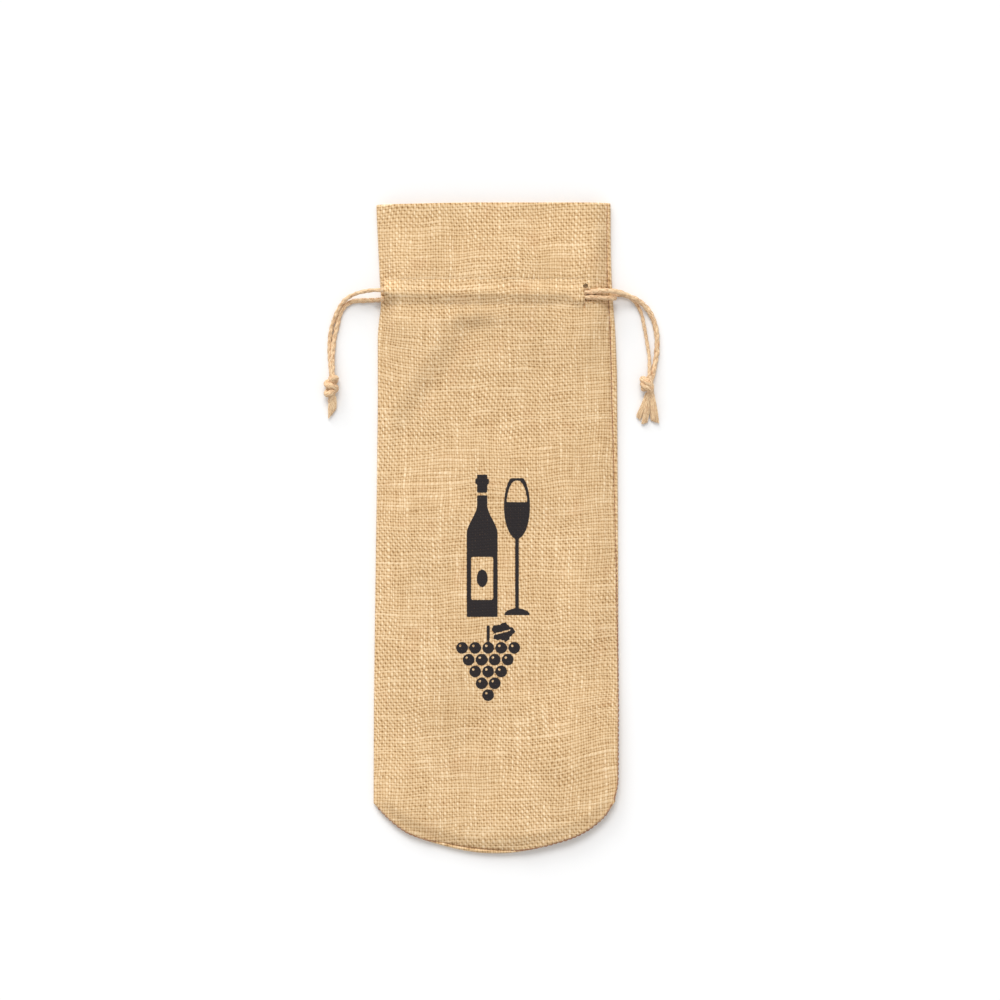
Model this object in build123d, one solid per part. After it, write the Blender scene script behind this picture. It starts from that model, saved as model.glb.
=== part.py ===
from build123d import *

import math
import os

# Wine gift bag of jute cloth, lying empty on its back, with two drawcords in a casing below its mouth.
#
# The cloth is a tube of two panels, seamed down both sides and along a curved bottom. The mouth is hemmed
# to the inside, and the hem is stitched down in two rows that leave a casing all the way round. Each cord
# runs right round the casing, leaves it beside one side seam and is knotted to itself outside.
#
# Frame: +X to the bag's right as seen from its front, +Y towards the mouth, +Z up out of the front panel.
# The origin is the middle of the bag's footprint, on the surface that it lies on. Sizes are in millimetres.

# ---- driving sizes ------------------------------------------------------------------------------
LENGTH = 380.0
MOUTH_HALF = 68.2  # half the flat width at the mouth
WAIST_HALF = 67.6  # at the casing
SHOULDER_HALF = 69.8
HIP_HALF = 71.7
CORNER_HALF = 70.9
SHOULDER_Y = 112.0
HIP_Y = -110.0
CORNER_Y = -160.0  # where the sides meet the curved bottom seam
CORNER_ROUND = 8.0

CLOTH = 0.7  # thickness of one layer
CORD = 2.4  # diameter of the twine
CLEAR = 0.05  # air left between layers that only touch
NECK_GAP = 4.4  # between the two hems, where the bottle goes in

# ---- casing and cord rows -----------------------------------------------------------------------
LEFT_FRONT_Y = 138.9  # the left cord's run in the front casing
LEFT_BACK_Y = 133.7  # and in the back casing
RIGHT_Y = 136.4  # both of the right cord's runs
TURN_Y = 133.9  # each cord's second end, where it lies on the front
CASING_Y = (132.4, 140.4)  # inside of the tunnel
STITCH_OFF = 1.1  # stitch rows stand this far outside the tunnel
HEM_END_Y = 129.0

# ---- derived sizes ------------------------------------------------------------------------------
TOP_Y = LENGTH / 2
BOTTOM_Y = -LENGTH / 2
RADIUS = CORD / 2
RIM_Z = 2.2  # where the two panels meet
RIM_RUN = 3.0  # how far in from the edge the back panel starts to rise

BACK_RUN_Z = CLOTH + CLEAR + RADIUS
BACK_HEM_Z = BACK_RUN_Z + RADIUS + CLEAR  # underside of the back hem over the cords
FRONT_HEM_Z = BACK_HEM_Z + CLOTH + NECK_GAP  # underside of the front hem
FRONT_Z = FRONT_HEM_Z + 2 * CLOTH + CLEAR  # top of the front panel
FRONT_RUN_Z = FRONT_Z + CLEAR + RADIUS
CASING_TOP_Z = FRONT_RUN_Z + RADIUS + CLEAR + CLOTH

SLOPE_RUN = FRONT_Z - RIM_Z  # the front panel falls to its edge at 45 degrees
SLANT = CLOTH * math.sqrt(2)
HEM_INSET = SLOPE_RUN + 1.6
HEM_HALF = WAIST_HALF - HEM_INSET

EXIT_LEFT_X = -(WAIST_HALF - 3.6)
SLIT_X = 51.5
HOLE = CORD + 4 * CLEAR

BASE_Y = -150.0  # the front panel's rounded base, below this, is a node of its own

# ---- stitches -----------------------------------------------------------------------------------
STITCH = (2.8, 0.5, 0.3)
STITCH_PITCH = 4.0


def side_points(inset, top):
    """The right-hand side of the plan outline, from the mouth down, drawn in by inset."""
    return [
        (MOUTH_HALF - inset, top),
        (WAIST_HALF - inset, (CASING_Y[0] + CASING_Y[1]) / 2),
        (SHOULDER_HALF - inset, SHOULDER_Y),
        (HIP_HALF - inset, HIP_Y),
        (CORNER_HALF - inset, CORNER_Y + inset / 2),
    ]


def outline(inset=0.0, top=TOP_Y):
    """Plan outline of the bag as a face, drawn in by inset along its sides and bottom."""
    right = side_points(inset, top)
    left = [(-x, y) for x, y in reversed(right)]
    bottom = ThreePointArc(right[-1], (0, BOTTOM_Y + inset), left[0])
    face = make_face(Polyline(*right) + bottom + Polyline(*left) + Line(left[-1], right[0]))
    corners = face.vertices().sort_by(Axis.Y)[:2]
    return fillet(corners, CORNER_ROUND)


def block(x, y, z):
    """A box between two limits on each axis."""
    size = [high - low for low, high in (x, y, z)]
    centre = [(high + low) / 2 for low, high in (x, y, z)]
    return Pos(*centre) * Box(*size)


def rising(inset_low, z_low, inset_high, z_high):
    """The volume between two plan outlines at two heights, open past the mouth."""
    beyond = TOP_Y + 10
    faces = [Pos(0, 0, z) * outline(i, beyond) for i, z in ((inset_low, z_low), (inset_high, z_high))]
    return loft(faces, ruled=True)


def up_to_mouth(shape):
    return shape & block((-100, 100), (-250, TOP_Y), (-1, 30))


def around(middle):
    """The limits of a cord's hole about a row or a height."""
    return (middle - HOLE / 2, middle + HOLE / 2)


def front_panel():
    """The front cloth: it slopes up from the seams, lies flat across, and stands up over the cords.

    It is one layer of cloth. Its rounded base is a node of its own, so that each node is simple.
    """
    outer = rising(0, RIM_Z, SLOPE_RUN, FRONT_Z)
    inner = rising(SLANT, RIM_Z, SLANT + SLOPE_RUN - CLOTH, FRONT_Z - CLOTH)
    wall = (CASING_Y[0] - CLOTH, CASING_Y[1] + CLOTH)
    low = RIM_Z + WAIST_HALF + EXIT_LEFT_X
    casing = block((EXIT_LEFT_X, SLIT_X), wall, (low, CASING_TOP_Z))
    tunnel = block(
        (EXIT_LEFT_X + CLOTH, SLIT_X - CLOTH), CASING_Y, (low + CLOTH, CASING_TOP_Z - CLOTH)
    )
    panel = up_to_mouth(outer + casing - inner - tunnel)
    height = around(FRONT_RUN_Z)
    left_exit = block((EXIT_LEFT_X - 1, EXIT_LEFT_X + CLOTH + 0.1), around(LEFT_FRONT_Y), height)
    right_exit = block((SLIT_X - CLOTH - 0.1, SLIT_X + 0.1), around(RIGHT_Y), height)
    panel -= left_exit + right_exit + side_exits()
    return {
        "front_panel": panel & block((-100, 100), (BASE_Y, 250), (-1, 30)),
        "front_panel_base": panel & block((-100, 100), (-250, BASE_Y), (-1, 30)),
    }


def back_panel():
    """The back cloth: flat on the ground, and turned up at its edges to meet the front."""
    outer = rising(RIM_RUN, 0, 0, RIM_Z)
    inner = rising(RIM_RUN + CLOTH, CLOTH, SLANT, RIM_Z)
    return up_to_mouth(outer - inner) - side_exits()


def side_exits():
    """The gaps at the side seams through which the cords leave the back casing."""
    exits = []
    for side, run_y in ((-1, LEFT_BACK_Y), (1, RIGHT_Y)):
        x = sorted((side * (WAIST_HALF - 6), side * (WAIST_HALF + 4)))
        exits.append(block(x, around(run_y), (CLOTH, BACK_RUN_Z + HOLE / 2)))
    return exits[0] + exits[1]


def front_hem():
    """The front's turned-in layer, from the mouth to the lower stitch row."""
    hem = block((-HEM_HALF, HEM_HALF), (HEM_END_Y, TOP_Y), (FRONT_HEM_Z, FRONT_HEM_Z + CLOTH))
    return hem - nose_room()


def nose_room():
    """Where the left cord turns down beside the slit, the hem is cut back."""
    return block((NOSE_START_X - 2, 80), CASING_Y, (0, 20))


def back_hem():
    """The back's turned-in layer, which rises over the cords between its two stitch rows."""
    foot, crown = CLOTH + CLEAR, BACK_HEM_Z
    low, high = CASING_Y
    under = [
        (TOP_Y, foot),
        (high + 1.0, foot),
        (high, crown),
        (low, crown),
        (low - 1.0, foot),
        (HEM_END_Y, foot),
    ]
    over = [
        (HEM_END_Y, foot + CLOTH),
        (low - 1.0 - CLOTH / 2, foot + CLOTH),
        (low - CLOTH / 2, crown + CLOTH),
        (high + CLOTH / 2, crown + CLOTH),
        (high + 1.0 + CLOTH / 2, foot + CLOTH),
        (TOP_Y, foot + CLOTH),
    ]
    profile = make_face(Plane.YZ * Polyline(*under, *over, close=True))
    hem = extrude(profile, amount=HEM_HALF, both=True)
    return hem - nose_room()


def seam_ring():
    """Both panels' seam allowances, pressed flat inside along the sides and the bottom."""
    inner_edge, outer_edge = 11.0, 5.0
    foot = CLOTH + CLEAR
    face = outline(outer_edge, TOP_Y - 1) - outline(inner_edge, TOP_Y + 10)
    ring = extrude(Pos(0, 0, foot) * face, amount=2 * CLOTH)
    casing_gap = block((-100, 100), (HEM_END_Y - 1, CASING_Y[1] + 2), (0, 20))
    header = block((-HEM_HALF - 0.2, HEM_HALF + 0.2), (HEM_END_Y - 1, TOP_Y + 1), (0, 20))
    return ring - casing_gap - header


def seam_allowances():
    """The ring cut at the corners into its left, right and bottom strips."""
    ring = seam_ring()
    cut = CORNER_Y + 12
    return {
        "left_seam_allowance": ring & block((-100, -0.1), (cut + CLEAR, 200), (0, 10)),
        "right_seam_allowance": ring & block((0.1, 100), (cut + CLEAR, 200), (0, 10)),
        "bottom_seam_allowance": ring & block((-100, 100), (-200, cut), (0, 10)),
    }


# ---- stitching ----------------------------------------------------------------------------------
def stitch(x, y, z, angle=0.0):
    """One stitch lying at a place, turned about Z."""
    return Pos(x, y, z + STITCH[2] / 2) * Rot(0, 0, angle) * Box(*STITCH)


def row(xs, y, z):
    return Compound(children=[stitch(x, y, z) for x in xs])


def steps(low, high):
    count = int((high - low) // STITCH_PITCH)
    start = (low + high - count * STITCH_PITCH) / 2
    return [start + i * STITCH_PITCH for i in range(count + 1)]


def casing_stitching():
    """Two rows across the front and two across the back, which hold the hem down and make the casing."""
    reach = HEM_HALF - 3
    rows = {}
    for name, y in (("upper", CASING_Y[1] + STITCH_OFF), ("lower", CASING_Y[0] - STITCH_OFF)):
        rows[f"front_casing_{name}_stitching"] = row(steps(-reach, reach), y, FRONT_Z + CLEAR)
        rear = y + (0.6 if name == "upper" else -0.6)
        rows[f"back_casing_{name}_stitching"] = row(
            steps(-reach, reach), rear, 2 * CLOTH + 2 * CLEAR
        )
    return rows


def seam_stitching():
    """The lock stitch through each seam allowance."""
    z = 3 * CLOTH + 2 * CLEAR
    inset = 6.2
    side = side_points(inset, TOP_Y)
    sides = []
    for (x0, y0), (x1, y1) in zip(side[2:-1], side[3:]):
        angle = math.degrees(math.atan2(y1 - y0, x1 - x0))
        for y in steps(max(y1, CORNER_Y + 20) + 2, y0 - 2):
            sides.append((x0 + (x1 - x0) * (y - y0) / (y1 - y0), y, angle))
    corner = side[-1]
    arc = ThreePointArc(corner, (0, BOTTOM_Y + inset), (-corner[0], corner[1]))
    count = int(arc.length // STITCH_PITCH)
    along = [i / count for i in range(2, count - 1)]
    bottom = []
    for t in along:
        place, way = arc @ t, arc % t
        bottom.append(stitch(place.X, place.Y, z, math.degrees(math.atan2(way.Y, way.X))))
    return {
        "right_seam_stitching": Compound(children=[stitch(x, y, z, a) for x, y, a in sides]),
        "left_seam_stitching": Compound(children=[stitch(-x, y, z, -a) for x, y, a in sides]),
        "bottom_seam_stitching": Compound(children=bottom),
    }


# ---- cords --------------------------------------------------------------------------------------
NOSE_START_X = 34.0  # the left cord starts down here, to pass under the front panel beside the slit
FAR_X = EXIT_LEFT_X + CLOTH + RADIUS + 1.1  # the right cord's turn round the left side


def turns(points):
    """For each inner corner of a route, the largest arc that its two runs allow."""
    found = []
    for a, b, c in zip(points, points[1:], points[2:]):
        first, second = Vector(*b) - Vector(*a), Vector(*c) - Vector(*b)
        half = math.radians(first.get_angle(second)) / 2
        found.append(0.45 * min(first.length, second.length) / math.tan(half))
    return found


def tube(points, radii):
    """A round cord along straight runs joined by tangent arcs."""
    line = FilletPolyline(*points, radius=radii)
    start = Plane(origin=line @ 0, z_dir=line % 0)
    return sweep(start * Circle(RADIUS), path=line)


def free_cord(name, points):
    """A stretch of cord that lies free. Prints its arcs and compares its volume with its length."""
    radii = turns(points)
    line = FilletPolyline(*points, radius=radii)
    solid = tube(points, radii)
    share = solid.volume / (math.pi * RADIUS**2 * line.length)
    print(f"{name}: {line.length:.1f} mm, radii {[round(r, 1) for r in radii]}, volume share {share:.3f}")
    return solid


def left_cord_inner():
    """The left cord inside the casing: front run, turn beside the right seam, back run."""
    points = [
        (EXIT_LEFT_X, LEFT_FRONT_Y, FRONT_RUN_Z),
        (NOSE_START_X, LEFT_FRONT_Y, FRONT_RUN_Z),
        (SLIT_X - 1.5, LEFT_FRONT_Y, 7.3),
        (58.5, 137.1, 6.0),
        (56.8, 133.9, 3.5),
        (SLIT_X - 3, LEFT_BACK_Y, BACK_RUN_Z),
        (-WAIST_HALF, LEFT_BACK_Y, BACK_RUN_Z),
    ]
    return tube(points, [10.0, 6.0, 1.7, 1.7, 6.0])


def right_cord_inner():
    """The right cord inside the casing: front run, turn round the left side, back run."""
    points = [
        (SLIT_X, RIGHT_Y, FRONT_RUN_Z),
        (FAR_X, RIGHT_Y, FRONT_RUN_Z),
        (FAR_X, RIGHT_Y, BACK_RUN_Z),
        (WAIST_HALF, RIGHT_Y, BACK_RUN_Z),
    ]
    return tube(points, [2.6, 2.6])


LEFT_TURN_ROUTE = [
    (EXIT_LEFT_X - 0.6, TURN_Y, FRONT_RUN_Z),
    (-69.0, 133.6, 9.2),
    (-70.4, 133.5, BACK_RUN_Z + CORD + 0.1),
]
RIGHT_TURN_ROUTE = [
    (SLIT_X + 0.1, TURN_Y, FRONT_RUN_Z),
    (61.5, 133.6, FRONT_RUN_Z),
    (68.6, 133.0, 8.8),
    (70.2, 132.8, BACK_RUN_Z + CORD + 0.1),
]
LEFT_FRONT_ROUTE = [
    (EXIT_LEFT_X, LEFT_FRONT_Y, FRONT_RUN_Z),
    (-71.0, 139.3, 10.4),
    (-79.4, 138.0, 7.0),
    (-89.0, 133.6, 2.8),
    (-95.4, 124.2, 1.3),
    (-98.0, 113.0, 1.3),
    (-97.3, 100.8, 1.3),
    (-96.3, 88.6, 2.3),
]
LEFT_BACK_ROUTE = [
    (-WAIST_HALF, LEFT_BACK_Y, BACK_RUN_Z),
    (-74.6, 133.2, 1.5),
    (-82.8, 133.0, 1.3),
    (-89.4, 129.2, 1.3),
    (-91.8, 119.6, 1.3),
    (-94.1, 109.6, 1.3),
    (-94.8, 99.2, 2.5),
    (-94.5, 88.6, 4.7),
]
RIGHT_FRONT_ROUTE = [
    (SLIT_X, RIGHT_Y, FRONT_RUN_Z),
    (60.3, 137.0, FRONT_RUN_Z),
    (69.8, 138.3, 10.4),
    (79.0, 135.8, 6.4),
    (87.8, 131.0, 2.4),
    (93.5, 121.4, 1.3),
    (95.0, 110.4, 1.3),
    (94.6, 99.8, 1.3),
    (92.0, 89.2, 2.9),
]
RIGHT_BACK_ROUTE = [
    (WAIST_HALF, RIGHT_Y, BACK_RUN_Z),
    (73.6, 135.8, 1.5),
    (80.0, 132.6, 1.3),
    (85.2, 126.2, 1.3),
    (87.5, 116.6, 1.3),
    (89.3, 107.0, 1.3),
    (90.6, 97.8, 2.5),
    (90.0, 89.2, 4.9),
]

# A knot: centre, length along the cord, width.
LEFT_KNOT = ((-95.4, 82.3, 4.2), 14.0, 8.0)
RIGHT_KNOT = ((89.4, 84.1, 4.5), 12.0, 8.6)


def knot(spec):
    """An overhand knot as a rounded barrel lying along Y."""
    centre, length, width = spec
    barrel = Cylinder(width / 2, length)
    barrel = fillet(barrel.edges().filter_by(GeomType.CIRCLE), width / 2 - 0.6)
    return Pos(*centre) * Rot(90, 0, 0) * barrel


def tail(spec, near_width, far_width, length, lean):
    """The frayed ends below a knot: a flat fan that lies on the ground."""
    (x, y, _), knot_length, _ = spec
    top = y - knot_length / 2 + 0.1
    shape = Polyline(
        (x - near_width / 2, top),
        (x + lean - far_width / 2, top - length),
        (x + lean + far_width / 2, top - length),
        (x + near_width / 2, top),
        close=True,
    )
    face = fillet(make_face(shape).vertices().sort_by(Axis.Y)[:2], 1.2)
    return extrude(Pos(0, 0, 0.1) * face, amount=3.2)


def cords():
    return {
        "left_cord_inner_run": left_cord_inner(),
        "left_cord_turn": tube(LEFT_TURN_ROUTE, [3.0]),
        "left_cord_front_strand": free_cord("left front strand", LEFT_FRONT_ROUTE),
        "left_cord_back_strand": free_cord("left back strand", LEFT_BACK_ROUTE),
        "left_cord_knot": knot(LEFT_KNOT),
        "left_cord_tail": tail(LEFT_KNOT, 4.6, 5.0, 11.3, -1.2),
        "right_cord_inner_run": right_cord_inner(),
        "right_cord_turn": tube(RIGHT_TURN_ROUTE, [8.0, 3.4]),
        "right_cord_front_strand": free_cord("right front strand", RIGHT_FRONT_ROUTE),
        "right_cord_back_strand": free_cord("right back strand", RIGHT_BACK_ROUTE),
        "right_cord_knot": knot(RIGHT_KNOT),
        "right_cord_tail": tail(RIGHT_KNOT, 4.8, 12.0, 18.0, 0.6),
    }


def main():
    os.makedirs("parts", exist_ok=True)
    nodes = {
        **front_panel(),
        "back_panel": back_panel(),
        "front_hem": front_hem(),
        "back_hem": back_hem(),
        **seam_allowances(),
        **seam_stitching(),
        **casing_stitching(),
        **cords(),
    }
    for name, shape in nodes.items():
        export_step(shape, f"parts/{name}.step")
    print(f"{len(nodes)} nodes, {CASING_TOP_Z:.2f} mm high")


main()
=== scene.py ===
from itertools import product
import math

import bpy
import numpy as np
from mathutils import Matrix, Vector


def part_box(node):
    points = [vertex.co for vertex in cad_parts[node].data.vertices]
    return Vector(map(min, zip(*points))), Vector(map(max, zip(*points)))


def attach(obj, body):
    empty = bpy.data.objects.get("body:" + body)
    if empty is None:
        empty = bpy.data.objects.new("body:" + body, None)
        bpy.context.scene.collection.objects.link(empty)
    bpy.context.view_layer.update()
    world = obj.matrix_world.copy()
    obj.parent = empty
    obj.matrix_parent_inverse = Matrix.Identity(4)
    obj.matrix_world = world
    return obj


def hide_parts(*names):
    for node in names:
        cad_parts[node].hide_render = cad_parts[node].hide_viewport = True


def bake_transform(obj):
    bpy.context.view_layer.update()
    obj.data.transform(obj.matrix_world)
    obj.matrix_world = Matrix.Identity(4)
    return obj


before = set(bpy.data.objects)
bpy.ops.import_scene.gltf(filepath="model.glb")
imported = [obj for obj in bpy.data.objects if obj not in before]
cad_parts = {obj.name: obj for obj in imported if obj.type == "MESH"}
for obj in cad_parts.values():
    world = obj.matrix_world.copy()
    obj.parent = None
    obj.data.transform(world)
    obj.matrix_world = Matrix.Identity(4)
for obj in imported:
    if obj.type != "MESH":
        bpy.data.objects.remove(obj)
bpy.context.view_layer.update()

MM = 0.001

# ---- sizes, in millimetres ----
FRONT_HIGH = np.array(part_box("front_panel")[1]) / MM
TOP = FRONT_HIGH[1]
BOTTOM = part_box("front_panel_base")[0][1] / MM
PANEL_NODES = {"front": ("front_panel", "front_panel_base"), "back": ("back_panel",)}
CLOTH = 0.7
HALF = CLOTH / 2
NOMINAL = 69.0  # half the flat width, for spacing the columns of cloth
CORNER_HALF, CORNER_Y = 70.9, -160.0  # where the curved bottom meets the sides
BOTTOM_DROP = CORNER_Y - BOTTOM
BOTTOM_RADIUS = (CORNER_HALF**2 + BOTTOM_DROP**2) / (2 * BOTTOM_DROP)
EDGE_ROUND = 1.75  # radius of the cloth where it turns over at the sides
BODY_Z = 9.0  # mid-height of the front cloth
MOUTH_Z = 8.5
FLOOR = -0.05
GROUND = -0.04  # cords and threads are flattened where they press on the floor
CASING_Z = FRONT_HIGH[2] - HALF - 0.02
FOLD = 0.55  # radius of the fold at the mouth
HEM_END = 129.0
HEM_ROOM = {"front": -0.35, "back": 2.0}  # how far each hem is moved to clear the cords
ALLOWANCE = 8.6  # width of the cloth inside the seams
ALLOWANCE_IN = 2.1  # from the bag's edge to its allowances
ALLOWANCE_LAYERS = (1.15, 1.95)  # heights of an allowance's two layers
ALLOWANCE_HALF = 0.3  # half the thickness of one of them
SEAM_IN = 2.6  # how far the side seam has rolled from the edge on to the front
NECK = 137.65  # between the two cords in the casing
CASING = (129.6, 136.6, 138.0, 146.5)  # foot, crest, crest and foot of the casing's bulge
SLIT_ROWS = (132.9, 139.3)  # the two ends of the slit that the right cord leaves by
SLIT_X = 51.5
SLIT_ACROSS = 52.2  # the slit's nominal place across the cloth
EYELET = (52.8, 141.3, 1.4)  # a small round hole above the slit: its place and radius
STITCH_ROWS = (131.2, 145.4)  # the casing's two rows of stitching
CREASES = (  # small hollows: place, half width both ways, depth
    ((52.0, 130.4), (0.9, 2.6), 2.0),
    ((-64.4, 136.3), (1.7, 0.9), 3.2),
    ((-62.6, 131.6), (0.9, 1.7), 1.0),
)
FOLDS = (  # soft steps in the front cloth: place, way down, half width, half length, drop
    ((-40.0, 88.0), (0.826, -0.563), 9.0, 58.0, 3.6),
    ((-14.0, 122.0), (0.0, -1.0), 7.0, 20.0, 3.0),
)
CORNER_LIFT = 2.4  # how far the lower right corner stands off the floor

# The bag's two sides as (y, x).
LEFT_EDGE = (
    (190, -69.2), (142, -66.9), (132, -66.0), (116, -68.3), (74, -68.2), (17, -68.9), (-30, -69.6),
    (-100, -70.5), (-190, -70.8),
)
RIGHT_EDGE = (
    (190, 67.2), (160, 67.4), (142, 68.0), (132, 68.7), (116, 70.0), (92, 71.0), (17, 71.5),
    (-100, 71.9), (-150, 71.6), (-190, 71.0),
)

# How much of SEAM_IN the back's cloth shows on the front, up the right side and along the bottom.
SIDE_ROLL = (
    (-160, 0.10), (-100, 0.12), (-65, 0.19), (-30, 0.35), (-7, 0.46), (17, 0.65), (52, 0.85), (75, 1.12),
    (110, 1.15), (134, 1.0), (156, 0.85), (189, 0.62),
)
BOTTOM_ROLL = (
    (-71, 0.12), (-50, 0.12), (-38, 0.25), (-28, 0.62), (-10, 0.85), (2, 0.65), (14, 0.3), (30, 0.12),
    (71, 0.25),
)

WARP, WEFT = 1.51, 1.79  # spacing of the yarns across and up the bag
CORD = 2.4
TWIST = 9.0  # length of one turn of the twine's plies
RADII = {  # of the free strands, which the twine's loose twist leaves uneven
    "left_cord_front_strand": 1.25,
    "left_cord_back_strand": 1.45,
    "right_cord_front_strand": 1.6,
    "right_cord_back_strand": 1.05,
    "right_cord_turn": 1.4,
}
SEAM_STITCH = (2.5, 0.4, 0.40)  # length, gap, radius
BOTTOM_STITCH = (2.5, 0.4, 0.42)
CASING_STITCH = (2.6, 0.9, 0.17)


def smooth(t):
    """0 below 0, 1 above 1, and an even S between them."""
    t = np.clip(t, 0, 1)
    return t * t * (3 - 2 * t)


def bump(t):
    """A bell of height 1 about 0."""
    return np.exp(-t * t)


def spot(x, y, place, wide, high):
    """A bell about a place, of a half width and a half height."""
    return bump((x - place[0]) / wide) * bump((y - place[1]) / high)


def waves(x, y, size, seed):
    """Gentle random swells about size across, between about -1 and 1."""
    rng = np.random.default_rng(seed)
    total = np.zeros(np.broadcast(x, y).shape)
    for _ in range(8):
        way = rng.uniform(0, 2 * math.pi)
        rate = 2 * math.pi / (size * rng.uniform(0.7, 1.6))
        total += np.sin(rate * (x * math.cos(way) + y * math.sin(way)) + rng.uniform(0, 2 * math.pi))
    return total / 4


# ---- shape of the bag ----
def side_x(points, y):
    """A side's x at each y, with its corners eased."""
    ys, xs = zip(*sorted(points))
    return sum(np.interp(y + shift, ys, xs) for shift in (-6, -3, 0, 3, 6)) / 5


def seam_y(x):
    """The curved bottom's y at each x."""
    held = np.clip(x, -CORNER_HALF, CORNER_HALF)
    arc = BOTTOM + BOTTOM_RADIUS - np.sqrt(BOTTOM_RADIUS**2 - held**2)
    return arc + 0.4 - 2.6 * bump((abs(x) - 54) / 16)


def bottom_lean(x):
    """Cosine of the bottom's slope at each x."""
    return np.sqrt(1 - (np.clip(x, -CORNER_HALF, CORNER_HALF) / BOTTOM_RADIUS) ** 2)


def edge_distance(x, y):
    """How far a place is from the bag's sides, from its bottom, and from its edge all round."""
    side = np.minimum(x - side_x(LEFT_EDGE, y), side_x(RIGHT_EDGE, y) - x).clip(1e-4)
    end = ((y - seam_y(x)) * bottom_lean(x)).clip(1e-4)
    return side, end, (side**-4.0 + end**-4.0) ** -0.25


def turned_edge(d):
    """How far the cloth stands from mid-height as it turns over its edge."""
    return np.sqrt(EDGE_ROUND**2 - np.clip(EDGE_ROUND - d, 0, None) ** 2)


def corner_lift(x, y):
    """How far the cloth stands up towards the lower right corner."""
    return CORNER_LIFT * smooth(1.35 - np.hypot((x - CORNER_HALF) / 75, (y - CORNER_Y) / 70))


def casing_share(x, y):
    """1 where the cloth lies on the cords, 0 outside the casing. It widens at the slit and ends there."""
    foot, crest, crest_end, foot_end = CASING
    opening = smooth((x - 41) / 8)
    low = foot - 2.0 * opening
    high = crest - 3.8 * opening
    climb = np.clip((y - low) / (high - low), 0, 1)
    rise = 0.35 * smooth(climb) + 0.65 * climb**2
    fall = 1 - smooth((y - crest_end) / (foot_end - crest_end))
    return rise * fall * (1 - smooth((x - SLIT_X) / 8))


def puckers(x, y):
    """Small upright folds that fade away from the casing."""
    lean = x + 0.12 * (y - NECK) * np.sign(x)
    fine = waves(lean, 0.05 * y, 10, 3) * bump((y - NECK) / 20)
    broad = waves(lean, 0.12 * y, 24, 4) * bump((y - NECK) / 38)
    flat_middle = 1 - bump(x / 2.5)
    return (0.30 * fine + 0.42 * broad) * flat_middle


def front_z(x, y, casing=True):
    """Mid-height of the front cloth."""
    _, _, d = edge_distance(x, y)
    neck = smooth((y - 88) / 40)  # 1 by the casing
    end = smooth((-115 - y) / 45)  # 1 by the bottom
    reach = 13 - 7.5 * (neck + end)
    middle = BODY_Z - 2.6 * smooth((-60 - y) / 110)
    middle += 1.5 * neck + (MOUTH_Z - BODY_Z - 1.5) * smooth((y - 145) / 45)
    middle += 1.1 * smooth((y - 138) / 8) * (1 - smooth((y - 150) / 36))
    flat = HALF + 2 * EDGE_ROUND
    rise = 1 - np.exp(-((np.clip(d - EDGE_ROUND, 0, None) / reach) ** 1.5))
    base = HALF + EDGE_ROUND + turned_edge(d) + (middle - flat) * rise
    inner = smooth((d - 2) / 10)
    base += inner * (0.45 * waves(x, y, 75, 1) + 0.16 * waves(x, y, 30, 2)) * (1 - 0.7 * neck)
    share = casing_share(x, y)
    base += inner * puckers(x, y) * (1 - share)
    for place, way, wide, far, drop in FOLDS:
        across = (x - place[0]) * way[0] + (y - place[1]) * way[1]
        along = (y - place[1]) * way[0] - (x - place[0]) * way[1]
        step = (0.5 - smooth(0.5 + across / (2 * wide))) * (1 - smooth((y - 118) / 12))
        base += inner * drop * step * bump(across / (3.5 * wide)) * bump(along / far)
    base += 0.22 * bump((d - 8) / 2.5) * (1 - neck)
    for row, dip in zip(STITCH_ROWS, (0.15, 0.30)):
        base -= dip * bump((y - row) / 0.8) * inner
    if casing:
        base += (CASING_Z - base) * share
    for place, wide, deep in CREASES:
        base -= deep * spot(x, y, place, *wide)
    return base


def under_cords(y):
    """The height that the cloth beside the slit keeps below, where the cords lie on it."""
    return 9.3 + 3.6 * smooth((abs(y - 135.8) - 3.4) / 1.1)


def back_z(x, y):
    """Mid-height of the back cloth, which lies on the floor."""
    _, _, d = edge_distance(x, y)
    return HALF + EDGE_ROUND - turned_edge(d)


# ---- grid of the cloth ----
EDGE_RINGS = (0, 0.13, 0.51, 1.08, EDGE_ROUND, 2.2, SEAM_IN, 3.0, 3.6, 4.3, 5.1, 6.0)
SEAM_RING = EDGE_RINGS.index(SEAM_IN)


def filled(stops):
    """Places from (place, step) stops, with each stretch divided into equal steps of about that size."""
    found = [stops[0][0]]
    for (low, step), (high, _) in zip(stops, stops[1:]):
        count = max(1, round((high - low) / step))
        found += [low + (high - low) * k / count for k in range(1, count + 1)]
    return np.array(found)


def cloth_columns():
    """Nominal places across the cloth. The two slit columns come twice, once for each lip."""
    left = [(-NOMINAL + ring, 9) for ring in EDGE_RINGS[:-1]]
    middle = [(-NOMINAL + 6.0, 0.78), (-0.5, 0.78), (49.0, 0.4), (SLIT_ACROSS, 0.4), (57.0, 0.78)]
    right = [(NOMINAL - ring, 9) for ring in reversed(EDGE_RINGS)]
    places = filled(left + middle + right)
    left_slit = EDGE_RINGS.index(EDGE_ROUND)
    right_slit = int(np.argmin(abs(places - SLIT_ACROSS)))
    places = np.insert(places, [left_slit, right_slit], places[[left_slit, right_slit]])
    return places, left_slit, right_slit + 1


def cloth_rows():
    """Nominal places up the cloth."""
    rings = [(BOTTOM + ring, 9) for ring in EDGE_RINGS[:-1]]
    stops = [(BOTTOM + 6.0, 0.8), (120.0, 0.6), (129.0, 0.45), (SLIT_ROWS[0], 0.45), (NECK, 0.45)]
    stops += [(SLIT_ROWS[1], 0.45), (146.0, 0.8)]
    return filled(rings + stops + [(TOP - FOLD, 1)])


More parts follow.
